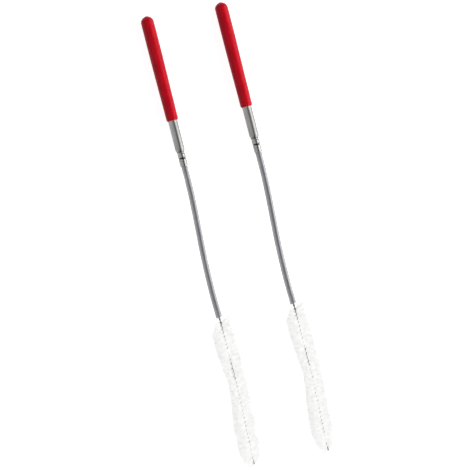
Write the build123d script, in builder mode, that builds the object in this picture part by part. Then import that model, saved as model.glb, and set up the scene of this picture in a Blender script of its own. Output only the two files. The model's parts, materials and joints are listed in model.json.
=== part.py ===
from build123d import *

import os
from math import cos, pi, radians, sin, sqrt

# A pair of flexible tube-cleaning brushes lying side by side, heads towards -Y.
# Each has a dipped grip on a steel tube, a crimped neck, a close-wound spring shaft
# and a bristle head on a stem of two twisted wires.
# Millimetres. The surface that they lie on is Z = 0. Stations are measured along a
# brush from the butt of its grip.

# ---- where the two brushes lie: the butt of each grip, seen from above
BUTT_PLACES = {"a": (-33.0, 233.52), "b": (42.25, 228.62)}

# ---- grip
GRIP_LENGTH = 108.0
GRIP_RADIUS = 6.6
GRIP_FRONT_RADIUS = 6.0
GRIP_TAPER_START = 42.0
GRIP_FRONT_ROUND = 1.1
NUB_RADIUS = 1.7
NUB_ROUND = 0.7
CROWN_STATION = 1.2
CROWN_RADIUS = 4.5
CROWN_ROUND = 2.2
CORNER_STATION = 4.4
CORNER_RADIUS = 6.4
CORNER_ROUND = 6.0
FULL_GRIP_STATION = 14.0

# ---- handle tube
TUBE_START = 6.0
TUBE_END = 138.0
TUBE_RADIUS = 4.75
TUBE_WALL = 0.8
FIT_GAP = 0.05

# ---- crimped neck
SPIGOT_LENGTH = 14.0
SHOULDER_END = 140.0
FERRULE_START = 140.2
FERRULE_END = 155.0
FERRULE_RADIUS = 3.9
FERRULE_WALL = 0.33
NECK_CORE_END = 147.8
NOSE_END = 157.0
GROOVE_STATIONS = (141.6, 147.0)
GROOVE_HALF_WIDTH = 0.5
GROOVE_DEPTH = 0.24
EDGE_BREAK = 0.3

# ---- spring shaft: stretch 1 starts inside the ferrule, the others follow it
SPRING_START = 148.0
FIRST_BEND_STATION = 180.0
SPRING_END = 311.0
SPRING_RADIUS = 3.5
SPRING_WIRE = 1.05
SPRING_PITCH = 1.2
BEND_GAP = 1.5
# The way each stretch after the first points, in degrees: sideways, then upwards.
STRETCH_YAW = (-2.6, -3.3, -3.6, -1.6, -0.6, 2.0)
STRETCH_CLIMB = (1.0, 2.0, 2.4, 2.2, 1.4, 0.7)

# ---- stem of two twisted wires
STRAND_RADIUS = 0.55
STRAND_OFFSET = 0.57
TWIST_PITCH = 8.0
STEM_START = 298.0
NECK_STATION = 314.0
WAIST_STATION = 386.0
STEM_END = 461.5
STEM_BREAK = 1.2
LOWER_HEAD_YAW = -2.3

# ---- plug that holds the stem in the spring
PLUG_START = 299.5
PLUG_END = 310.0

# ---- bristle head: rows of filaments, each row a thin disc on a thin sleeve
HEAD_START = 315.5
HEAD_END = 465.5
HEAD_MEAN_RADIUS = 9.4
HEAD_SWELL = 0.9
HEAD_CREST_STATION = 338.0
HEAD_WAVE_LENGTH = 94.0
HEAD_ROUND_LENGTH = 13.0
ROW_PITCH = 4.0
ROW_THICKNESS = 0.3
FIRST_ROW = 318.0
LAST_UPPER_ROW = 382.0
FIRST_LOWER_ROW = 390.0
LAST_LOWER_ROW = 462.0
SLEEVE_INNER_RADIUS = 1.25
SLEEVE_OUTER_RADIUS = 1.5

UP = Vector(0, 0, 1)


def heading(yaw, climb):
    """Unit direction that leaves the handle along -Y, turned towards +X by yaw and lifted by climb."""
    level = cos(radians(climb))
    return Vector(sin(radians(yaw)) * level, -cos(radians(yaw)) * level, sin(radians(climb)))


def lay_out(brush):
    """Legs of one brush from butt to tip: name to (first station, point there, direction)."""
    x, y = BUTT_PLACES[brush]
    legs = {"handle": (0.0, Vector(x, y, GRIP_RADIUS), heading(0, 0))}
    ends = [FIRST_BEND_STATION]
    stretch = (SPRING_END - FIRST_BEND_STATION) / len(STRETCH_YAW)
    directions = [heading(yaw, climb) for yaw, climb in zip(STRETCH_YAW, STRETCH_CLIMB)]
    directions += [heading(0, 0), heading(LOWER_HEAD_YAW, 0)]
    names = [f"spring_{number + 2}" for number in range(len(STRETCH_YAW))]
    names += ["head_upper", "head_lower"]
    ends += [FIRST_BEND_STATION + stretch * (number + 1) for number in range(len(STRETCH_YAW))]
    ends[-1] = NECK_STATION
    ends.append(WAIST_STATION)
    last = legs["handle"]
    for name, station, direction in zip(names, ends, directions):
        point = last[1] + last[2] * (station - last[0])
        last = (station, point, direction)
        legs[name] = last
    return legs


def point_on(leg, station):
    """Point on a leg's axis at a station."""
    return leg[1] + leg[2] * (station - leg[0])


def side_plane(leg):
    """Plane through a leg's axis: local X is the station along the brush, local Y the radius."""
    across = leg[2].cross(UP)
    return Plane(origin=point_on(leg, 0), x_dir=leg[2], z_dir=across)


def axis_of(leg):
    """Centre line of a leg."""
    return Axis(leg[1], leg[2])


def save(piece, node):
    """Label a finished piece and write it as its own file."""
    piece.part.label = node
    export_step(piece.part, f"parts/{node}.step")


def make_grip(brush, leg):
    """Dipped plastic grip: domed butt with a small nub, straight, then a slight taper to a round lip."""
    bore_radius = TUBE_RADIUS + FIT_GAP
    with BuildPart() as grip:
        with BuildSketch(side_plane(leg)):
            with BuildLine():
                FilletPolyline(
                    (0, 0),
                    (0, NUB_RADIUS),
                    (CROWN_STATION, CROWN_RADIUS),
                    (CORNER_STATION, CORNER_RADIUS),
                    (FULL_GRIP_STATION, GRIP_RADIUS),
                    (GRIP_TAPER_START, GRIP_RADIUS),
                    (GRIP_LENGTH, GRIP_FRONT_RADIUS),
                    (GRIP_LENGTH, bore_radius),
                    radius=(NUB_ROUND, CROWN_ROUND, CORNER_ROUND, 0, 0, GRIP_FRONT_ROUND),
                )
                Polyline((GRIP_LENGTH, bore_radius), (TUBE_START, bore_radius), (TUBE_START, 0), (0, 0))
            make_face()
        revolve(axis=axis_of(leg))
    save(grip, f"grip_{brush}")


def make_handle_tube(brush, leg):
    """Steel tube of the handle, open at both ends; the grip covers most of it."""
    with BuildPart() as handle_tube:
        butt_end = Plane(origin=point_on(leg, TUBE_START + FIT_GAP), z_dir=leg[2])
        with BuildSketch(butt_end):
            Circle(TUBE_RADIUS)
            Circle(TUBE_RADIUS - TUBE_WALL, mode=Mode.SUBTRACT)
        extrude(amount=TUBE_END - TUBE_START - FIT_GAP)
    save(handle_tube, f"handle_tube_{brush}")


def make_coupling(brush, leg):
    """Turned plug between tube and spring: spigot, tapered shoulder, neck core and nose."""
    spigot = TUBE_RADIUS - TUBE_WALL - FIT_GAP
    core = FERRULE_RADIUS - FERRULE_WALL - FIT_GAP
    nose = SPRING_RADIUS - SPRING_WIRE - 2 * FIT_GAP
    with BuildPart() as coupling:
        with BuildSketch(side_plane(leg)):
            with BuildLine():
                Polyline(
                    (TUBE_END - SPIGOT_LENGTH, 0),
                    (TUBE_END - SPIGOT_LENGTH, spigot - EDGE_BREAK),
                    (TUBE_END - SPIGOT_LENGTH + EDGE_BREAK, spigot),
                    (TUBE_END, spigot),
                    (TUBE_END, TUBE_RADIUS),
                    (SHOULDER_END, FERRULE_RADIUS),
                    (SHOULDER_END, core),
                    (NECK_CORE_END - EDGE_BREAK, core),
                    (NECK_CORE_END, core - EDGE_BREAK),
                    (NECK_CORE_END, nose),
                    (NOSE_END - EDGE_BREAK, nose),
                    (NOSE_END, nose - EDGE_BREAK),
                    (NOSE_END, 0),
                    close=True,
                )
            make_face()
        revolve(axis=axis_of(leg))
    save(coupling, f"coupling_{brush}")


def make_ferrule(brush, leg):
    """Thin sleeve over the neck and the first turns of the spring, with rolled grooves."""
    bore = FERRULE_RADIUS - FERRULE_WALL
    with BuildPart() as ferrule:
        with BuildSketch(side_plane(leg)):
            middle = (FERRULE_START + FERRULE_END) / 2
            with Locations((middle, FERRULE_RADIUS - FERRULE_WALL / 2)):
                Rectangle(FERRULE_END - FERRULE_START, FERRULE_WALL)
            for station in GROOVE_STATIONS:
                with BuildLine():
                    Polyline(
                        (station - GROOVE_HALF_WIDTH, FERRULE_RADIUS),
                        (station, FERRULE_RADIUS - GROOVE_DEPTH),
                        (station + GROOVE_HALF_WIDTH, FERRULE_RADIUS),
                        close=True,
                    )
                make_face(mode=Mode.SUBTRACT)
        revolve(axis=axis_of(leg))
        front = ferrule.edges().filter_by(GeomType.CIRCLE).group_by(Axis.Y)[0].sort_by(SortBy.RADIUS)[-1]
        chamfer(front, length=(FERRULE_WALL / 2))
    save(ferrule, f"ferrule_{brush}")


def make_spring(brush, number, leg, start, end):
    """One stretch of the close-wound spring between two stations, with whole turns of wire."""
    turns = int((end - start - SPRING_WIRE) / SPRING_PITCH)
    height = turns * SPRING_PITCH
    base = point_on(leg, (start + end - height) / 2)
    coil_radius = SPRING_RADIUS - SPRING_WIRE / 2
    with BuildPart() as spring:
        with BuildLine():
            coil = Helix(pitch=SPRING_PITCH, height=height, radius=coil_radius, center=base, direction=leg[2])
        with BuildSketch(Plane(origin=coil @ 0, z_dir=coil % 0)):
            Circle(SPRING_WIRE / 2)
        sweep(path=coil, is_frenet=True)
    save(spring, f"spring_{number}_{brush}")


def make_stem_plug(brush, leg):
    """Bush in the last turns of the spring that holds the root of the stem."""
    plug_radius = SPRING_RADIUS - SPRING_WIRE - 2 * FIT_GAP
    hole_radius = STRAND_OFFSET + STRAND_RADIUS + FIT_GAP
    with BuildPart() as stem_plug:
        with BuildSketch(Plane(origin=point_on(leg, PLUG_START), z_dir=leg[2])):
            Circle(plug_radius)
            Circle(hole_radius, mode=Mode.SUBTRACT)
        extrude(amount=PLUG_END - PLUG_START)
        rims = stem_plug.edges().filter_by(GeomType.CIRCLE).sort_by(SortBy.RADIUS)[-2:]
        chamfer(rims, length=EDGE_BREAK)
    save(stem_plug, f"stem_plug_{brush}")


def make_stem(node, leg, start, end):
    """Stretch of the stem: two wires wound round each other about the leg's axis."""
    base = point_on(leg, start)
    with BuildPart() as stem:
        with BuildLine():
            lay = Helix(TWIST_PITCH, end - start, STRAND_OFFSET, center=base, direction=leg[2])
        with BuildSketch(Plane(origin=lay @ 0, z_dir=lay % 0)):
            Circle(STRAND_RADIUS)
        strand = sweep(path=lay, is_frenet=True)
        add(strand.rotate(axis_of(leg), 180))
    save(stem, node)


def head_radius(station):
    """Radius of the trimmed bristles: two swells with a waist between, rounded at both ends."""
    wave = cos(2 * pi * (station - HEAD_CREST_STATION) / HEAD_WAVE_LENGTH)
    radius = HEAD_MEAN_RADIUS + HEAD_SWELL * wave
    from_end = min(station - HEAD_START, HEAD_END - station, HEAD_ROUND_LENGTH)
    return radius * sqrt(1 - (1 - from_end / HEAD_ROUND_LENGTH) ** 2)


def make_bristles(node, leg, first_row, last_row):
    """Rows of nylon filaments as thin discs, joined by the sleeve that they leave the stem from."""
    rows = round((last_row - first_row) / ROW_PITCH) + 1
    with BuildPart() as bristles:
        with BuildSketch(side_plane(leg)):
            with Locations(((first_row + last_row) / 2, (SLEEVE_INNER_RADIUS + SLEEVE_OUTER_RADIUS) / 2)):
                Rectangle(last_row - first_row, SLEEVE_OUTER_RADIUS - SLEEVE_INNER_RADIUS)
            for row in range(rows):
                station = first_row + row * ROW_PITCH
                reach = head_radius(station) - SLEEVE_INNER_RADIUS
                with Locations((station, SLEEVE_INNER_RADIUS + reach / 2)):
                    Rectangle(ROW_THICKNESS, reach)
        revolve(axis=axis_of(leg))
    save(bristles, node)


def make_brush(brush):
    """All the pieces of one brush, from the grip to the tip."""
    legs = lay_out(brush)
    handle = legs["handle"]
    make_grip(brush, handle)
    make_handle_tube(brush, handle)
    make_coupling(brush, handle)
    make_ferrule(brush, handle)
    make_spring(brush, 1, handle, SPRING_START, FIRST_BEND_STATION - BEND_GAP / 2)
    stretch = (SPRING_END - FIRST_BEND_STATION) / len(STRETCH_YAW)
    for number in range(2, len(STRETCH_YAW) + 2):
        leg = legs[f"spring_{number}"]
        last = number == len(STRETCH_YAW) + 1
        end = SPRING_END if last else leg[0] + stretch - BEND_GAP / 2
        make_spring(brush, number, leg, leg[0] + BEND_GAP / 2, end)
    tail = legs[f"spring_{len(STRETCH_YAW) + 1}"]
    make_stem_plug(brush, tail)
    make_stem(f"stem_root_{brush}", tail, STEM_START, NECK_STATION - STEM_BREAK / 2)
    make_stem(
        f"stem_upper_{brush}", legs["head_upper"],
        NECK_STATION + STEM_BREAK / 2, WAIST_STATION - STEM_BREAK / 2,
    )
    make_stem(f"stem_lower_{brush}", legs["head_lower"], WAIST_STATION + STEM_BREAK / 2, STEM_END)
    make_bristles(f"bristles_upper_{brush}", legs["head_upper"], FIRST_ROW, LAST_UPPER_ROW)
    make_bristles(f"bristles_lower_{brush}", legs["head_lower"], FIRST_LOWER_ROW, LAST_LOWER_ROW)


os.makedirs("parts", exist_ok=True)
for brush_name in BUTT_PLACES:
    make_brush(brush_name)
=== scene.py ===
import json
import math

import bpy
import numpy as np
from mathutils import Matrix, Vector


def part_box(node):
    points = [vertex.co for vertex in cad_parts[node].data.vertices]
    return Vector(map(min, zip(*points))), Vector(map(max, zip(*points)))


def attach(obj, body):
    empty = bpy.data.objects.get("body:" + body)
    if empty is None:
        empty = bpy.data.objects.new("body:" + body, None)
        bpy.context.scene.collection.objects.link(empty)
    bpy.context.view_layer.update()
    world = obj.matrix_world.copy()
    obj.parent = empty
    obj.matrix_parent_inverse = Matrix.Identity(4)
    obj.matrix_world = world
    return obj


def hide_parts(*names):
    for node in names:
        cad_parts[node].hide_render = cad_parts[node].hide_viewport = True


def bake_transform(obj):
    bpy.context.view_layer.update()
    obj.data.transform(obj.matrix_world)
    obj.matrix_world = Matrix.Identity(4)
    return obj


# Looks for a pair of flexible cleaning brushes. Metres, in the CAD frame: +Z up, both
# handles along +Y, heads towards -Y. A station is a distance along a brush's own
# centre line, from the butt of its grip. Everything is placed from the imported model.

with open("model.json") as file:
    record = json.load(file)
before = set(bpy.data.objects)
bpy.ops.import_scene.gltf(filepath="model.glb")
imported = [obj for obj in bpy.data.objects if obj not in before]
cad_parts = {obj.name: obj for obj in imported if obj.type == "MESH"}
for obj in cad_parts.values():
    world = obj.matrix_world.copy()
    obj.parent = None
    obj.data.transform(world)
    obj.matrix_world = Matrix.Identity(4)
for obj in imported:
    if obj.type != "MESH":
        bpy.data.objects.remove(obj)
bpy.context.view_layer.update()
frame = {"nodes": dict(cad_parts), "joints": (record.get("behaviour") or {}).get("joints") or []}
JOINTS = {joint["name"]: joint for joint in frame["joints"]}
BRUSHES = ("a", "b")
MM = 0.001
LINE_STEP = 0.25 * MM
CORNER_STEPS = 24
ROUND_COLUMNS = 96
POINT_RADIUS = 0.02 * MM  # of a closed end, where it meets the centre line

# ---- grip
DOME_LENGTH = 6.5 * MM
DOME_POWERS = (2.2, 0.68)
CROWN_LENGTH = 14 * MM
CROWN_NARROWING = 0.025
GRIP_TAPER_START = 42 * MM
GRIP_FRONT_RADIUS = 6.0 * MM
LIP_LENGTH = 2.2 * MM
LIP_DEPTH = 3 * MM
GRIP_BORE = 4.8 * MM
PUCKER_DEPTH = 0.28 * MM
PUCKER_START = 0.15 * MM
PUCKER_LENGTH = 2.2 * MM
PUCKER_FADE = 1.6 * MM
UNEVENNESS = 0.035 * MM
UNEVEN_FROM_BUTT = 6 * MM
UNEVEN_FROM_FRONT = 4 * MM

# ---- tube, coupling and ferrule
TUBE_RADIUS = 4.75 * MM
TUBE_WALL = 0.8 * MM
TUBE_EDGE = 0.18 * MM
NECK_RADIUS = 3.9 * MM
NECK_EDGE = 0.3 * MM
CORE_LENGTH = 7.5 * MM
CORE_GAP = 0.05 * MM
NOSE_GAP = 0.08 * MM
SHOULDER_STEP = 0.25 * MM
SHOULDER_SINK = 0.02 * MM
SHOULDER_GAP = 0.1 * MM
SHOULDER_RISE = 0.12 * MM
FERRULE_WALL = 0.33 * MM
FERRULE_EDGE = 0.12 * MM
FERRULE_STEP = 0.12 * MM
GROOVES = ((1.4 * MM, 0.4 * MM), (6.8 * MM, 0.6 * MM))  # (from the sleeve's start, depth)
GROOVE_WIDTH = 0.65 * MM
BEAD_HEIGHT = 0.12 * MM
BEAD_PLACE, BEAD_WIDTH = 2.1, 0.8  # in groove widths
# painted shade: how dark, and how far it reaches, in the joint gap at the start of the sleeve and
# in its second groove
JOINT_SHADE = (0.6, 0.5 * MM)  # (strength, reach)
GROOVE_SHADE = (0.95, 0.7 * MM)

# ---- spring and stem
SPRING_RADIUS = 3.5 * MM
SPRING_WIRE = 1.14 * MM
SPRING_PITCH = 1.2 * MM
STRAND_RADIUS = 0.56 * MM
STRAND_OFFSET = 0.56 * MM
TWIST_PITCH = 8 * MM
STRAIGHT_BEFORE_NECK = 3 * MM
STEM_ROUNDING = 14 * MM
LINE_PAST_TIP = 8 * MM
STEM_IN_SPRING = 12 * MM
CUT_PAST_JOINT = 20 * MM
NECK_REACH = 5 * MM
WAIST_REACH = 14 * MM

# ---- bristles: how they stand
SEEDS = {"a": 11, "b": 12}
FIRST_ROOT = 1.6 * MM
LAST_ROOT = 0.8 * MM
ROOT_RADIUS = 0.3 * MM
FILAMENTS_PER_MM = 60
FILAMENT_RADIUS = 0.11 * MM
FILAMENT_TAPER = 0.25
FILAMENT_RINGS = 5
FILAMENT_SIDES = 3
LOWEST_POINT = 0.05 * MM
ROW_SPREAD = 0.43
STRAY_SPREAD = 1.3
STRAY_SHARE = 0.4
UPRIGHT_SINE = 0.5
BARE_STEM = 17 * MM
BARE_TIP = 6 * MM
BARE_POWER = 1.5
PARTING = (40 * MM, 58 * MM)
PARTED_SHARE = 0.35
REACH_NOISE = 0.035
LEAN_NOISE = 0.07
LEAN_WAVE, LEAN_WAVE_RATE = 0.045, 310
CURL_NOISE = 0.10
DRIFT_NOISE = 0.1

# ---- bristles: the outline of a head. A pair is for its left and its right
HEAD_MEAN_RADIUS = 10.7 * MM
HEAD_SWELL = 0.8 * MM
HEAD_CREST = 22.5 * MM
HEAD_WAVE = 94 * MM
HEEL_LENGTH = 12 * MM
HEEL_START = 0.35
HEEL_LEANS = (0.45, 0.6)
HEEL_LEAN_LENGTH = 9 * MM
TIP_LENGTHS = {"a": 19 * MM, "b": 27 * MM}
TIP_POWERS = (0.4, 0.6)
TIP_LEAN = 0.8
TIP_LEAN_LENGTH = 10 * MM
# where the outline moves to the left, or right if less than nothing, in millimetres:
# (from the neck, by, over)
SWAYS = {
    "a": ((19, 0.8, 12), (64, -1.6, 18), (124, 1.6, 28)),
    "b": ((20, 0.6, 12), (66, -1.2, 18), (126, 2.2, 28)),
}


# ------------------------------------------------------------------ centre lines
def running_length(points):
    """Length of a polyline from its start to each of its points."""
    steps = np.linalg.norm(np.diff(points, axis=0), axis=1)
    return np.concatenate([[0], np.cumsum(steps)])


def unit(vectors):
    """Vectors scaled to length 1."""
    return vectors / np.linalg.norm(vectors, axis=-1, keepdims=True)


def smooth_line(corners):
    """Evenly spaced points of a curve along a polyline that rounds each corner from leg to leg."""
    corners = [np.array(corner, float) for corner in corners]
    points = [corners[0]]
    for before, corner, after in zip(corners, corners[1:], corners[2:]):
        start, end = (before + corner) / 2, (corner + after) / 2
        for t in np.linspace(0, 1, CORNER_STEPS):
            points.append((1 - t) ** 2 * start + 2 * t * (1 - t) * corner + t * t * end)
    points.append(corners[-1])
    points = np.array(points)
    length = running_length(points)
    even = np.linspace(0, length[-1], int(length[-1] / LINE_STEP))
    return np.stack([np.interp(even, length, points[:, k]) for k in range(3)], -1)


class CentreLine:
    """A brush's centre line: position and two cross directions at any station."""

    def __init__(self, brush):
        grip_low, grip_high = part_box(f"grip_{brush}")
        ferrule_low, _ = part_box(f"ferrule_{brush}")
        tip_low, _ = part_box(f"stem_lower_{brush}")
        axis_x, axis_z = (grip_low.x + grip_high.x) / 2, (grip_low.z + grip_high.z) / 2
        names = [f"shaft_{n}_{'side' if n % 2 else 'up'}_{brush}" for n in range(1, 7)]
        bends = [np.array(JOINTS[name]["pos_m"]) for name in names]
        neck = np.array(JOINTS[f"neck_bend_{brush}"]["pos_m"])
        waist = np.array(JOINTS[f"head_bend_{brush}"]["pos_m"])
        straight_end = np.array([axis_x, ferrule_low.y - STRAIGHT_BEFORE_NECK, axis_z])
        butt = np.array([axis_x, grip_high.y, axis_z])
        # the lower half of the head points at the end of its stem
        tip_x = tip_low.x + STRAND_OFFSET + STRAND_RADIUS
        tip = np.array([tip_x, tip_low.y, waist[2]])
        upper, lower = unit(waist - neck), unit(tip - waist)
        end = waist + lower * (np.linalg.norm(tip - waist) + LINE_PAST_TIP)
        corners = [butt, straight_end, *bends, neck, neck + upper * STEM_ROUNDING]
        corners += [waist - upper * STEM_ROUNDING, waist, waist + lower * STEM_ROUNDING, end]
        self.points = smooth_line(corners)
        self.stations = running_length(self.points)
        self.stem_end = self.station_of(tip)
        self.neck, self.waist = self.station_of(neck), self.station_of(waist)
        self.bends = [self.station_of(bend) for bend in bends]
        along = unit(np.gradient(self.points, self.stations, axis=0))
        self.across = unit(np.cross(np.array([0.0, 0.0, 1.0]), along))
        self.raised = np.cross(along, self.across)

    def station_of(self, point):
        """Station of the point on the line nearest to a point."""
        return float(self.stations[np.argmin(np.linalg.norm(self.points - point, axis=1))])

    def sample(self, values, stations):
        """Vectors that are given along the line, at each station."""
        return np.stack([np.interp(stations, self.stations, values[:, k]) for k in range(3)], -1)

    def at(self, stations):
        """Point on the line at each station."""
        return self.sample(self.points, stations)

    def around(self, stations, angles, radii):
        """Points at stations, angles round the line (0 is +X, a quarter turn is up) and radii."""
        side, up = self.sample(self.across, stations), self.sample(self.raised, stations)
        cosine, sine = np.cos(angles)[..., None], np.sin(angles)[..., None]
        return self.at(stations) + (side * cosine + up * sine) * np.asarray(radii)[..., None]


LINES = {brush: CentreLine(brush) for brush in BRUSHES}


# ------------------------------------------------------------------ mesh helpers
def add_mesh(name, vertices, faces, uvs, material):
    """Smooth object. uvs has a pair for each corner of each face, in millimetres of surface."""
    mesh = bpy.data.meshes.new(name)
    mesh.from_pydata(vertices.tolist(), [], faces)
    layer = mesh.uv_layers.new(name="surface")
    layer.data.foreach_set("uv", np.asarray(uvs, np.float32).ravel())
    mesh.polygons.foreach_set("use_smooth", [True] * len(mesh.polygons))
    mesh.materials.append(material)
    mesh.update()
    piece = bpy.data.objects.new(name, mesh)
    bpy.context.scene.collection.objects.link(piece)
    return piece


def skin(grid, u, v, loop=False):
    """Faces and UVs over a grid of rings by columns, closed round the columns.

    u holds a length for each ring, and v one for each column and one more for the seam.
    With loop the last ring joins the first. Without it the two ends are capped."""
    rings, columns = grid.shape[:2]
    ring_next = np.arange(1, rings + (1 if loop else 0)) % rings
    i, j = np.meshgrid(np.arange(len(ring_next)), np.arange(columns), indexing="ij")
    k = (j + 1) % columns
    here, there = i * columns, ring_next[i] * columns
    quads = np.stack([here + j, here + k, there + k, there + j], -1).reshape(-1, 4)
    u_there = np.concatenate([u[1:], [u[-1]]])[: len(ring_next)]
    corner = [(u[i], v[j]), (u[i], v[j + 1]), (u_there[i], v[j + 1]), (u_there[i], v[j])]
    faces = quads.tolist()
    uvs = [np.stack([np.stack(pair, -1) for pair in corner], -2).reshape(-1, 2)]
    if not loop:
        faces.append(list(range(columns - 1, -1, -1)))
        faces.append(list(range((rings - 1) * columns, rings * columns)))
        for station in (u[0], u[-1]):
            uvs.append(np.stack([np.full(columns, station), v[:-1]], -1))
    return faces, np.concatenate(uvs)


def lathe(name, line, profile, material, loop=False, shape=None, painted_shade=None):
    """Surface of revolution about the centre line through (station, radius) pairs.

    shape, if given, returns the change of radius at each station and angle, and soil how
    much painted shade there is at a station, from 0 to 1."""
    stations = np.array([station for station, _ in profile])
    radii = np.array([radius for _, radius in profile])
    angles = np.linspace(0, 2 * math.pi, ROUND_COLUMNS, endpoint=False)
    s, a = np.meshgrid(stations, angles, indexing="ij")
    r = np.repeat(radii[:, None], ROUND_COLUMNS, 1)
    if shape:
        r = r + shape(s, a)
    grid = line.around(s, a, r)
    u = np.concatenate([[0], np.cumsum(np.hypot(np.diff(stations), np.diff(radii)))]) / MM
    v = np.linspace(0, 2 * math.pi * radii.max(), ROUND_COLUMNS + 1) / MM
    faces, uvs = skin(grid, u, v, loop)
    piece = add_mesh(name, grid.reshape(-1, 3), faces, uvs, material)
    if painted_shade:
        layer = piece.data.attributes.new("painted_shade", "FLOAT", "POINT")
        of_rings = [painted_shade(station) for station in stations]
        layer.data.foreach_set("value", np.repeat(of_rings, ROUND_COLUMNS))
    return piece


def arc_points(start, end, leaving, steps):
    """Points of a quarter round after start, which it leaves "along" or "across" the line."""
    (x0, y0), (x1, y1) = start, end
    points = []
    for t in np.linspace(0, math.pi / 2, steps + 1)[1:]:
        a, b = math.sin(t), 1 - math.cos(t)
        if leaving == "across":
            a, b = b, a
        points.append((x0 + (x1 - x0) * a, y0 + (y1 - y0) * b))
    return points


def straight(start, end, step):
    """Points after start up to end, no further apart than step."""
    (x0, y0), (x1, y1) = start, end
    count = max(1, math.ceil(math.hypot(x1 - x0, y1 - y0) / step))
    return [(x0 + (x1 - x0) * t / count, y0 + (y1 - y0) * t / count) for t in range(1, count + 1)]


def wire(
    name, line, start, end, pitch, offset, radius, material, turns=(0.0,), turn_steps=32, sides=8
):
    """Round wires wound right-handed round the centre line from start to end.

    There is one for each angle in turns."""
    vertices, faces, uvs = [], [], []
    count = max(3, int(round((end - start) / pitch * turn_steps)) + 1)
    s = np.linspace(start, end, count)
    ring = np.linspace(0, 2 * math.pi, sides, endpoint=False)
    girth = np.linspace(0, 2 * math.pi * radius / MM, sides + 1)
    for number, turn in enumerate(turns):
        angle = turn + 2 * math.pi * s / pitch
        middle = line.around(s, angle, np.full(count, offset))
        out = unit(middle - line.at(s))
        aside = unit(np.cross(unit(np.gradient(middle, axis=0)), out))
        grid = middle[:, None] + radius * (
            out[:, None] * np.cos(ring)[None, :, None]
            + aside[:, None] * np.sin(ring)[None, :, None]
        )
        wire_faces, wire_uvs = skin(grid, running_length(middle) / MM, girth)
        first = number * count * sides
        vertices.append(grid.reshape(-1, 3))
        faces += [[index + first for index in face] for face in wire_faces]
        uvs.append(wire_uvs)
    return add_mesh(name, np.concatenate(vertices), faces, np.concatenate(uvs), material)


# ------------------------------------------------------------------ materials
def new_material(name):
    """Empty node material with its main shader: (material, nodes, links, shader)."""
    material = bpy.data.materials.new(name)
    material.use_nodes = True
    tree = material.node_tree
    return material, tree.nodes, tree.links, tree.nodes["Principled BSDF"]


def noise_on(nodes, links, source, scale, detail, squeeze=(1, 1, 1)):
    """Noise texture over a coordinate, with its grain squeezed along the axes."""
    mapping = nodes.new("ShaderNodeMapping")
    mapping.inputs["Scale"].default_value = squeeze
    noise = nodes.new("ShaderNodeTexNoise")
    noise.inputs["Scale"].default_value = scale
    noise.inputs["Detail"].default_value = detail
    links.new(source, mapping.inputs["Vector"])
    links.new(mapping.outputs["Vector"], noise.inputs["Vector"])
    return noise.outputs["Fac"]


def ramp(nodes, links, value, stops):
    """Colour ramp over a value. stops are (position, colour)."""
    node = nodes.new("ShaderNodeValToRGB")
    elements = node.color_ramp.elements
    while len(elements) < len(stops):
        elements.new(0.5)
    for element, (position, colour) in zip(elements, stops):
        element.position = position
        element.color = (*colour, 1)
    links.new(value, node.inputs["Fac"])
    return node.outputs["Color"]


def patchy(nodes, links, noise, dark, light):
    """Colour that wanders with a noise between dark and light."""
    return ramp(nodes, links, noise, [(0.3, dark), (0.7, light)])


def span(nodes, links, value, low, high):
    """A value from 0 to 1 carried to the range low to high."""
    node = nodes.new("ShaderNodeMapRange")
    node.inputs["To Min"].default_value = low
    node.inputs["To Max"].default_value = high
    links.new(value, node.inputs["Value"])
    return node.outputs["Result"]


def bump(nodes, links, height, distance):
    """Normal of a skin whose height, from 0 to 1, stands for a distance."""
    node = nodes.new("ShaderNodeBump")
    node.inputs["Distance"].default_value = distance
    node.inputs["Strength"].default_value = 0.6
    links.new(height, node.inputs["Height"])
    return node.outputs["Normal"]


def surface(nodes):
    """Millimetres along and round a piece."""
    return nodes.new("ShaderNodeTexCoord").outputs["UV"]


def grip_vinyl():
    """Red dipped vinyl: cloudy colour, smeared gloss and a slightly wavy skin."""
    material, nodes, links, shader = new_material("grip_vinyl")
    uv = surface(nodes)
    cloud = noise_on(nodes, links, uv, 0.05, 4, (1, 2.5, 1))
    red = patchy(nodes, links, cloud, (0.38, 0.001, 0.006), (0.50, 0.003, 0.012))
    links.new(red, shader.inputs["Base Color"])
    smear = noise_on(nodes, links, uv, 0.35, 5, (0.35, 1, 1))
    links.new(span(nodes, links, smear, 0.22, 0.42), shader.inputs["Roughness"])
    waves = noise_on(nodes, links, uv, 0.3, 4)
    links.new(bump(nodes, links, waves, 0.5 * MM), shader.inputs["Normal"])
    shader.inputs["Specular IOR Level"].default_value = 0.4
    shader.inputs["Specular Tint"].default_value = (1, 0.3, 0.4, 1)
    return material


def drawn_steel(name, dark, light, roughness, across=9.0, along=0.12, painted_shade_on=False):
    """Steel with fine lines along its length. roughness is a (low, high) pair.

    across and along are how tightly the lines are squeezed in each direction."""
    material, nodes, links, shader = new_material(name)
    uv = surface(nodes)
    lines = noise_on(nodes, links, uv, 1.0, 6, (along, across, 1))
    patches = noise_on(nodes, links, uv, 0.12, 4)
    tone = patchy(nodes, links, patches, dark, light)
    # painted shade in the grooves and the joint gap, from the mesh's mask
    if painted_shade_on:
        tone = with_painted_shade(nodes, links, tone)
    links.new(tone, shader.inputs["Base Color"])
    links.new(span(nodes, links, lines, *roughness), shader.inputs["Roughness"])
    links.new(bump(nodes, links, lines, 0.012 * MM), shader.inputs["Normal"])
    shader.inputs["Metallic"].default_value = 1.0
    return material


def with_painted_shade(nodes, links, clean):
    """A colour, darkened by painted shade where the mesh's mask says so."""
    painted_shade = nodes.new("ShaderNodeAttribute")
    painted_shade.attribute_name = "painted_shade"
    mix = nodes.new("ShaderNodeMix")
    mix.data_type = "RGBA"
    # near-black colour of the painted shade
    mix.inputs["B"].default_value = (0.015, 0.014, 0.013, 1)
    links.new(painted_shade.outputs["Fac"], mix.inputs["Factor"])
    links.new(clean, mix.inputs["A"])
    return mix.outputs["Result"]


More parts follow.
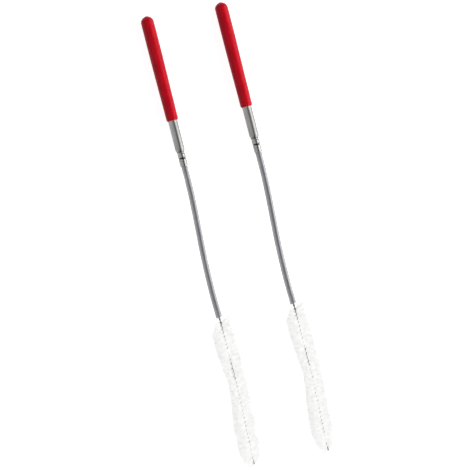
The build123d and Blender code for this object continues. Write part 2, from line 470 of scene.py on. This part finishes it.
def nylon():
    """White nylon. Its glow stands for light scattered among thousands of thin filaments."""
    material, nodes, links, shader = new_material("bristle_nylon")
    tint = noise_on(nodes, links, surface(nodes), 0.4, 3)
    white = patchy(nodes, links, tint, (0.22, 0.22, 0.205), (0.50, 0.50, 0.50))
    links.new(white, shader.inputs["Base Color"])
    links.new(span(nodes, links, tint, 0.3, 0.5), shader.inputs["Roughness"])
    shader.inputs["Specular IOR Level"].default_value = 0.3
    shader.inputs["Emission Color"].default_value = (1.0, 1.0, 0.995, 1)
    shader.inputs["Emission Strength"].default_value = 0.6
    return material


def brass():
    """Stained brass of the plug at the end of the spring."""
    material, nodes, links, shader = new_material("plug_brass")
    position = nodes.new("ShaderNodeTexCoord").outputs["Object"]
    stain = noise_on(nodes, links, position, 700, 4)
    tone = patchy(nodes, links, stain, (0.50, 0.37, 0.15), (0.66, 0.50, 0.24))
    links.new(tone, shader.inputs["Base Color"])
    links.new(span(nodes, links, stain, 0.28, 0.5), shader.inputs["Roughness"])
    shader.inputs["Metallic"].default_value = 1.0
    return material


VINYL = grip_vinyl()
TUBE_STEEL = drawn_steel("tube_steel", (0.42, 0.415, 0.405), (0.52, 0.515, 0.505), (0.30, 0.46))
# the neck steel carries painted shade in its grooves and joint gap
NECK_STEEL = drawn_steel(
    "neck_steel", (0.44, 0.435, 0.43), (0.56, 0.555, 0.55), (0.20, 0.34),
    across=4.0, along=0.6, painted_shade_on=True,
)
SPRING_STEEL = drawn_steel(
    "spring_steel", (0.62, 0.625, 0.645), (0.76, 0.765, 0.79), (0.30, 0.46), across=5.0, along=0.8
)
STEM_WIRE = drawn_steel(
    "stem_wire", (0.34, 0.34, 0.345), (0.50, 0.50, 0.505), (0.35, 0.55), across=5.0, along=0.5
)
NYLON = nylon()
BRASS = brass()


# ------------------------------------------------------------------ pieces
def place(piece, body, slot, *nodes):
    """Put a finished piece on its body, over the CAD nodes it stands for, which it hides. slot is
    not used.
    """
    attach(piece, body)
    if nodes:
        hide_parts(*nodes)


def span_joint(piece, line, station, reach, body_a, body_b, slot, *nodes):
    """Bake a finished piece's placement into its mesh, and hide the CAD nodes it stands for. The
    two ends of a reach each side of a station are worked out but not used. body_a, body_b and slot
    are not used.
    """
    start, end = line.at(np.array([station - reach, station + reach]))
    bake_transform(piece)
    if nodes:
        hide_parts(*nodes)


def make_grip(brush, line):
    """Dipped grip: domed crown with a puckered nub, straight body, slow taper and round lip."""
    low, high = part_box(f"grip_{brush}")
    radius, length = (high.z - low.z) / 2, high.y - low.y

    def crown(s):
        """Radius over the domed end, which reaches the full radius by the end of the crown."""
        rounding, fullness = DOME_POWERS
        dome = (1 - max(0, 1 - s / DOME_LENGTH) ** rounding) ** fullness
        return radius * dome * (1 - CROWN_NARROWING * (1 - min(1, s / CROWN_LENGTH)))

    stations = CROWN_LENGTH * np.linspace(0, 1, 44)[1:] ** 1.8
    profile = [(0.0, POINT_RADIUS)] + [(s, crown(s)) for s in stations]
    profile += straight(profile[-1], (GRIP_TAPER_START, radius), 0.8 * MM)
    profile += straight(profile[-1], (length - LIP_LENGTH, GRIP_FRONT_RADIUS), 1.5 * MM)
    profile += arc_points(profile[-1], (length, GRIP_BORE), "along", 10)
    profile += straight(profile[-1], (length - LIP_DEPTH, GRIP_BORE), 1.5 * MM)

    def folds(s, a):
        """Puckers that run down from the nub and die out, and slow unevenness of the dip."""
        fade = np.clip((s - PUCKER_START) / MM, 0, 1)
        fade *= np.exp(-np.maximum(s - PUCKER_LENGTH, 0) / PUCKER_FADE)
        creases = np.abs(np.sin(2.5 * a + 0.7 + 0.4 * np.sin(a))) ** 0.6 - 0.8
        creases += 0.35 * np.sin(7 * a + 900 * s)
        uneven = UNEVENNESS * (np.sin(2 * a + 95 * s) + np.sin(3 * a - 160 * s + 1.1))
        on_body = np.clip((length - s) / UNEVEN_FROM_FRONT, 0, 1)
        on_body *= np.clip(s / UNEVEN_FROM_BUTT, 0, 1)
        return PUCKER_DEPTH * fade * creases - np.abs(uneven) * on_body

    grip = lathe(f"grip_skin_{brush}", line, profile, VINYL, shape=folds)
    place(grip, f"handle_{brush}", "grip_vinyl", f"grip_{brush}")


def stations_of(line, node):
    """First and last station of a node on the straight handle."""
    low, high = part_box(node)
    butt = line.points[0][1]
    return butt - high.y, butt - low.y


def make_tube(brush, line):
    """Steel tube with softened ends, inside and outside walls."""
    start, end = stations_of(line, f"handle_tube_{brush}")
    bore = TUBE_RADIUS - TUBE_WALL
    profile = [(start, bore), (start, TUBE_RADIUS - TUBE_EDGE), (start + TUBE_EDGE, TUBE_RADIUS)]
    profile += straight(profile[-1], (end - TUBE_EDGE, TUBE_RADIUS), 6 * MM)
    profile += arc_points(profile[-1], (end, TUBE_RADIUS - TUBE_EDGE), "along", 3)
    profile += [(end, bore)]
    profile += straight(profile[-1], (start + TUBE_EDGE, bore), 12 * MM)
    tube = lathe(f"tube_shell_{brush}", line, profile, TUBE_STEEL, loop=True)
    place(tube, f"handle_{brush}", "tube_steel", f"handle_tube_{brush}")


def crimp(from_start):
    """Change of radius where the sleeve is rolled in: two grooves, each between two beads."""
    change = 0.0
    for groove, depth in GROOVES:
        away = abs(from_start - groove) / GROOVE_WIDTH
        change -= depth * math.exp(-(away**2))
        change += BEAD_HEIGHT * math.exp(-(((away - BEAD_PLACE) / BEAD_WIDTH) ** 2))
    return change


def painted_shade_at(from_start):
    """Painted shade in the joint gap at the start of the sleeve and in its second groove."""
    in_joint, joint_reach = JOINT_SHADE
    in_groove, groove_reach = GROOVE_SHADE
    joint = in_joint * math.exp(-((from_start / joint_reach) ** 2))
    return joint + in_groove * math.exp(-(((from_start - GROOVES[1][0]) / groove_reach) ** 4))


def make_coupling(brush, line):
    """Turned coupling: spigot in the tube, tapered shoulder that shows, grooved neck and nose."""
    start, end = stations_of(line, f"coupling_{brush}")
    _, tube_end = stations_of(line, f"handle_tube_{brush}")
    sleeve_start, _ = stations_of(line, f"ferrule_{brush}")
    spigot = TUBE_RADIUS - TUBE_WALL - CORE_GAP
    core = NECK_RADIUS - FERRULE_WALL - CORE_GAP
    nose = SPRING_RADIUS - SPRING_WIRE - NOSE_GAP
    profile = [(start, POINT_RADIUS), (start, spigot - NECK_EDGE), (start + NECK_EDGE, spigot)]
    profile += straight(profile[-1], (tube_end, spigot), 4 * MM)
    profile += [(tube_end, TUBE_RADIUS - SHOULDER_STEP)]
    shoulder_start = (tube_end + SHOULDER_STEP, TUBE_RADIUS - SHOULDER_SINK)
    profile += arc_points(profile[-1], shoulder_start, "across", 3)
    shoulder_end = sleeve_start - SHOULDER_GAP
    before_edge = (shoulder_end - NECK_EDGE, NECK_RADIUS + SHOULDER_RISE)
    profile += straight(profile[-1], before_edge, 0.3 * MM)
    profile += arc_points(profile[-1], (shoulder_end, NECK_RADIUS - SHOULDER_GAP), "along", 4)
    core_end = sleeve_start + CORE_LENGTH
    core_stations = np.linspace(shoulder_end, core_end - NECK_EDGE, 70)
    profile += [(s, core + crimp(s - sleeve_start)) for s in core_stations]
    profile += [(core_end, profile[-1][1] - NECK_EDGE), (core_end, nose)]
    profile += [(end - NECK_EDGE, nose), (end, nose - NECK_EDGE), (end, POINT_RADIUS)]
    # painted shade at the joint gap before the sleeve and under its second groove
    coupling = lathe(
        f"turned_coupling_{brush}", line, profile, NECK_STEEL,
        painted_shade=lambda s: painted_shade_at(s - sleeve_start),
    )
    place(coupling, f"handle_{brush}", "neck_steel", f"coupling_{brush}")


def make_ferrule(brush, line):
    """Thin sleeve, crimped on the core with two rolled grooves."""
    start, end = stations_of(line, f"ferrule_{brush}")
    wall = np.arange(start + FERRULE_EDGE, end - 0.2 * MM, FERRULE_STEP)
    inside = NECK_RADIUS - FERRULE_WALL
    profile = [(start, inside), (start, NECK_RADIUS - FERRULE_EDGE)]
    profile += [(s, NECK_RADIUS + crimp(s - start)) for s in wall]
    profile += arc_points(profile[-1], (end, NECK_RADIUS - 2 * FERRULE_EDGE), "along", 4)
    profile += [(end, inside)] + [(s, inside + crimp(s - start)) for s in wall[::-1]]
    # painted shade at the sleeve's start and in its second groove
    ferrule = lathe(
        f"crimped_ferrule_{brush}", line, profile, NECK_STEEL, loop=True,
        painted_shade=lambda s: painted_shade_at(s - start),
    )
    place(ferrule, f"handle_{brush}", "neck_steel", f"ferrule_{brush}")


def make_spring(brush, line):
    """The wound wire, cut midway between hinges, so that each piece spans one hinge.

    Returns the station where it ends."""
    _, first_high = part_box(f"spring_1_{brush}")
    start = line.points[0][1] - first_high.y
    tail_low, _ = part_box(f"spring_7_{brush}")
    neck_height = line.at(np.array([line.neck]))[0, 2]
    end = line.station_of(np.array([tail_low.x + SPRING_RADIUS, tail_low.y, neck_height]))
    bends = line.bends
    half = (bends[1] - bends[0]) / 2
    bodies = [f"handle_{brush}"] + [f"shaft_{n}_{brush}" for n in range(2, 8)]
    cuts = [start] + [(a + b) / 2 for a, b in zip(bends, bends[1:])] + [end]
    for n, bend in enumerate(bends):
        coil = wire(
            f"spring_coils_{n + 1}_{brush}", line, cuts[n], cuts[n + 1], SPRING_PITCH,
            SPRING_RADIUS - SPRING_WIRE / 2, SPRING_WIRE / 2, SPRING_STEEL,
        )
        nodes = [f"spring_{n + 1}_{brush}"] + ([f"spring_7_{brush}"] if n == 5 else [])
        span_joint(coil, line, bend, half, bodies[n], bodies[n + 1], "spring_steel", *nodes)
    return end


def make_stem(brush, line, spring_end):
    """Two wires twisted together, from inside the spring to the tip, in three lengths."""
    bodies = [f"shaft_7_{brush}", f"head_upper_{brush}", f"head_lower_{brush}"]
    cuts = [spring_end - STEM_IN_SPRING, line.neck + CUT_PAST_JOINT]
    cuts += [line.waist + CUT_PAST_JOINT, line.stem_end]
    neck, waist, tip = [
        wire(
            f"{name}_{brush}", line, cuts[n], cuts[n + 1], TWIST_PITCH, STRAND_OFFSET,
            STRAND_RADIUS, STEM_WIRE, turns=(0.0, math.pi), turn_steps=48, sides=12,
        )
        for n, name in enumerate(("stem_neck", "stem_waist", "stem_tip"))
    ]
    span_joint(
        neck, line, line.neck, NECK_REACH, *bodies[:2], "stem_wire", f"stem_root_{brush}"
    )
    span_joint(
        waist, line, line.waist, WAIST_REACH, *bodies[1:], "stem_wire", f"stem_upper_{brush}"
    )
    place(tip, bodies[2], "stem_wire", f"stem_lower_{brush}")


def head_reach(brush, from_neck, left):
    """Radius of a head at a distance from the neck joint. left runs from 1 to -1 on the right."""
    swell = np.cos(2 * math.pi * (from_neck - HEAD_CREST) / HEAD_WAVE)
    sway = 0
    for at, by, over in SWAYS[brush]:
        sway = sway + by * MM * np.exp(-(((from_neck - at * MM) / (over * MM)) ** 2))
    return HEAD_MEAN_RADIUS + HEAD_SWELL * swell + left * sway


def end_trim(brush, from_first, to_last, left):
    """Share of a head's radius that is left near its two ends."""
    # the heel widens evenly on the left and is full at once on the right; the tip is rounded
    slope = np.clip(HEEL_START + (1 - HEEL_START) * from_first / HEEL_LENGTH, 0, 1)
    full = np.clip((from_first + 1.2 * MM) / (2.5 * MM), 0, 1) ** 0.5
    heel = np.where(left > 0, slope * left + full * (1 - left), full)
    tip = np.clip((to_last + 0.8 * MM) / TIP_LENGTHS[brush], 0, 1)
    return heel * (1 - (1 - tip) ** 2) ** np.where(left > 0, *TIP_POWERS)


def make_bristles(brush, line):
    """Nylon filaments gripped by the two wires, which stand in two rows wound round the stem."""
    rng = np.random.default_rng(SEEDS[brush])
    first, last = line.neck + FIRST_ROOT, line.stem_end - LAST_ROOT
    total = int((last - first) / MM * FILAMENTS_PER_MM)
    upper, lower = f"head_upper_{brush}", f"head_lower_{brush}"
    cuts = [first, line.waist - CUT_PAST_JOINT, line.waist + CUT_PAST_JOINT, last]
    pieces = []
    for n, name in enumerate(("bristles_heel", "bristles_waist", "bristles_tip")):
        count = int(total * (cuts[n + 1] - cuts[n]) / (last - first))
        root = np.sort(rng.uniform(cuts[n], cuts[n + 1], count))
        vertices, faces = filaments(brush, line, root, rng, first, last)
        # each face has the tone of one place, along and across the brush
        uvs = np.repeat(vertices[[face[0] for face in faces]][:, [1, 0]] / MM, 4, axis=0)
        pieces.append(add_mesh(f"{name}_{brush}", vertices, faces, uvs, NYLON))
    heel, waist, tip = pieces
    place(heel, upper, "bristle_nylon", f"bristles_upper_{brush}")
    span_joint(waist, line, line.waist, WAIST_REACH, upper, lower, "bristle_nylon")
    place(tip, lower, "bristle_nylon", f"bristles_lower_{brush}")


def filaments(brush, line, root, rng, first, last):
    """Vertices and faces of filaments that cross the stem at each root station, both ways."""
    rings, sides = FILAMENT_RINGS, FILAMENT_SIDES
    root = np.repeat(root, 2)
    turn = 2 * math.pi * root / TWIST_PITCH + math.pi / 2 + np.tile([0, math.pi], len(root) // 2)
    spread = np.where(rng.uniform(0, 1, len(root)) < STRAY_SHARE, STRAY_SPREAD, ROW_SPREAD)
    angle = turn + rng.normal(0, 1, len(root)) * spread
    # few filaments stand up over the two ends of the stem, or where they part between them
    from_first = root - first
    parted = (from_first > PARTING[0]) & (from_first < PARTING[1])
    cover = np.where(parted, PARTED_SHARE, (from_first / BARE_STEM) ** BARE_POWER)
    cover = np.minimum(cover, ((last - root) / BARE_TIP) ** BARE_POWER)
    kept = (np.sin(angle) < UPRIGHT_SINE) | (rng.uniform(0, 1, len(root)) < cover)
    root, angle, from_first = root[kept], angle[kept], from_first[kept]
    count, to_last, left = len(root), last - root, -np.cos(angle)
    reach = head_reach(brush, root - line.neck, left) * (1 + rng.normal(0, REACH_NOISE, count))
    reach *= end_trim(brush, from_first, to_last, left)
    # filaments lean back at the heel, and forward at the tip's left side
    lean = rng.normal(0, LEAN_NOISE, count) + LEAN_WAVE * np.sin(root * LEAN_WAVE_RATE + angle)
    heel_lean = np.where(left > 0, *HEEL_LEANS) * np.abs(left)
    lean -= heel_lean * np.exp(-from_first / HEEL_LEAN_LENGTH)
    lean += TIP_LEAN * np.maximum(left, 0) * np.exp(-np.maximum(to_last, 0) / TIP_LEAN_LENGTH)
    curl = rng.normal(0, CURL_NOISE, count)
    drift = DRIFT_NOISE * rng.normal(0, 1, count)
    out_steps = np.linspace(0, 1, rings)
    ahead = np.tan(lean)[:, None] * out_steps + drift[:, None] * out_steps**2
    middle = line.around(
        root[:, None] + reach[:, None] * ahead,
        angle[:, None] + curl[:, None] * out_steps**2,
        ROOT_RADIUS + reach[:, None] * out_steps,
    )
    run = unit(np.gradient(middle, axis=1))
    aside = unit(np.cross(run, np.array([0.3, 0.9, 0.3])))
    other = np.cross(run, aside)
    ring = np.linspace(0, 2 * math.pi, sides, endpoint=False)
    thick = FILAMENT_RADIUS * (1 - FILAMENT_TAPER * out_steps)[None, :, None, None]
    grid = middle[:, :, None] + thick * (
        aside[:, :, None] * np.cos(ring)[None, None, :, None]
        + other[:, :, None] * np.sin(ring)[None, None, :, None]
    )
    f, i, j = np.meshgrid(np.arange(count), np.arange(rings - 1), np.arange(sides), indexing="ij")
    here = (f * rings + i) * sides
    there, k = here + sides, (j + 1) % sides
    quads = np.stack([here + j, here + k, there + k, there + j], -1).reshape(-1, 4)
    vertices = grid.reshape(-1, 3)
    vertices[:, 2] = np.maximum(vertices[:, 2], LOWEST_POINT)
    return vertices, quads.tolist()


for brush_name, centre in LINES.items():
    make_grip(brush_name, centre)
    make_tube(brush_name, centre)
    make_coupling(brush_name, centre)
    make_ferrule(brush_name, centre)
    coil_end = make_spring(brush_name, centre)
    make_stem(brush_name, centre, coil_end)
    make_bristles(brush_name, centre)
    plug = frame["nodes"][f"stem_plug_{brush_name}"]
    plug.data.materials.clear()
    plug.data.materials.append(BRASS)


# ------------------------------------------------------------------ stage, light and camera
VIEW_TURN = math.radians(-14.4)
VIEW_WIDTH = 0.470
VIEW_CENTRE = Vector((-0.0010, -0.0008, 0.009))
CAMERA_HEIGHT = 3.0
FLOOR_SIZE = 60
FLOOR_GLOW = 0.75
FLOOR_GLOW_ELSEWHERE = 0.22
BACKDROP = 1.4
LIGHT_STRENGTH = 2.4
# light from the left (0) over the top (0.5) to the right (1)
SIDE_LIGHT = ((0.0, 0.26), (0.44, 0.27), (0.50, 0.02), (0.77, 0.02), (0.88, 0.75), (1.0, 1.1))
END_LIGHT = 0.4
LAMP_STRENGTH = 2.4
LAMP_CLIMB = 32
LAMP_SPREAD = 25


def make_floor():
    """Pale floor that shows white, as a light table does, but lights the object less."""
    bpy.ops.mesh.primitive_plane_add(size=FLOOR_SIZE, location=(0, 0, 0))
    floor = bpy.context.object
    floor.name = "floor"
    material, nodes, links, shader = new_material("floor")
    shader.inputs["Base Color"].default_value = (0.85, 0.85, 0.85, 1)
    shader.inputs["Roughness"].default_value = 0.9
    shader.inputs["Specular IOR Level"].default_value = 0.1
    shader.inputs["Emission Color"].default_value = (1, 1, 1, 1)
    path = nodes.new("ShaderNodeLightPath")
    glow = span(nodes, links, path.outputs["Is Camera Ray"], FLOOR_GLOW_ELSEWHERE, FLOOR_GLOW)
    links.new(glow, shader.inputs["Emission Strength"])
    floor.data.materials.append(material)


def make_world():
    """Soft studio light: bright on the right, dim on the left and at the ends, dark overhead."""
    world = bpy.data.worlds.new("studio")
    bpy.context.scene.world = world
    world.use_nodes = True
    nodes, links = world.node_tree.nodes, world.node_tree.links
    direction = nodes.new("ShaderNodeTexCoord").outputs["Generated"]

    def part_along(axis):
        """How far a direction points along an axis."""
        dot = nodes.new("ShaderNodeVectorMath")
        dot.operation = "DOT_PRODUCT"
        dot.inputs[1].default_value = axis
        links.new(direction, dot.inputs[0])
        return dot.outputs["Value"]

    def multiply(value, other):
        """Product of two outputs, or of an output and a number."""
        node = nodes.new("ShaderNodeMath")
        node.operation = "MULTIPLY"
        for socket, source in zip(node.inputs, (value, other)):
            if isinstance(source, float):
                socket.default_value = source
            else:
                links.new(source, socket)
        return node.outputs["Value"]

    across = part_along((math.cos(VIEW_TURN), math.sin(VIEW_TURN), 0))
    along = part_along((-math.sin(VIEW_TURN), math.cos(VIEW_TURN), 0))
    from_left = nodes.new("ShaderNodeMapRange")
    from_left.inputs["From Min"].default_value = -1
    links.new(across, from_left.inputs["Value"])
    greys = [(position, (strength,) * 3) for position, strength in SIDE_LIGHT]
    light = ramp(nodes, links, from_left.outputs["Result"], greys)
    ends = span(nodes, links, multiply(along, along), 1.0, END_LIGHT)
    background = nodes["Background"]
    links.new(light, background.inputs["Color"])
    links.new(multiply(ends, LIGHT_STRENGTH), background.inputs["Strength"])
    # a plain pale backdrop where the camera sees past the floor
    backdrop = nodes.new("ShaderNodeBackground")
    backdrop.inputs["Strength"].default_value = BACKDROP
    mix = nodes.new("ShaderNodeMixShader")
    path = nodes.new("ShaderNodeLightPath")
    links.new(path.outputs["Is Camera Ray"], mix.inputs["Fac"])
    links.new(background.outputs["Background"], mix.inputs[1])
    links.new(backdrop.outputs["Background"], mix.inputs[2])
    links.new(mix.outputs["Shader"], nodes["World Output"].inputs["Surface"])


def make_lamp():
    """Broad soft lamp from the right, which shiny surfaces don't show."""
    data = bpy.data.lights.new("side_lamp", "SUN")
    data.energy = LAMP_STRENGTH
    data.angle = math.radians(LAMP_SPREAD)
    lamp = bpy.data.objects.new("side_lamp", data)
    bpy.context.scene.collection.objects.link(lamp)
    lamp.rotation_euler = (0, math.radians(90 - LAMP_CLIMB), VIEW_TURN)
    lamp.visible_glossy = False


def make_camera():
    """Looks straight down, turned so that the handles lean as they do in the reference view."""
    data = bpy.data.cameras.new("camera")
    camera = bpy.data.objects.new("camera", data)
    bpy.context.scene.collection.objects.link(camera)
    camera.location = VIEW_CENTRE + Vector((0, 0, CAMERA_HEIGHT))
    camera.rotation_euler = (0, 0, VIEW_TURN)
    data.sensor_width = 36
    data.lens = data.sensor_width * CAMERA_HEIGHT / VIEW_WIDTH
    data.clip_end = 20
    bpy.context.scene.camera = camera


make_floor()
make_world()
make_lamp()
make_camera()
bpy.context.scene.view_settings.view_transform = "Standard"
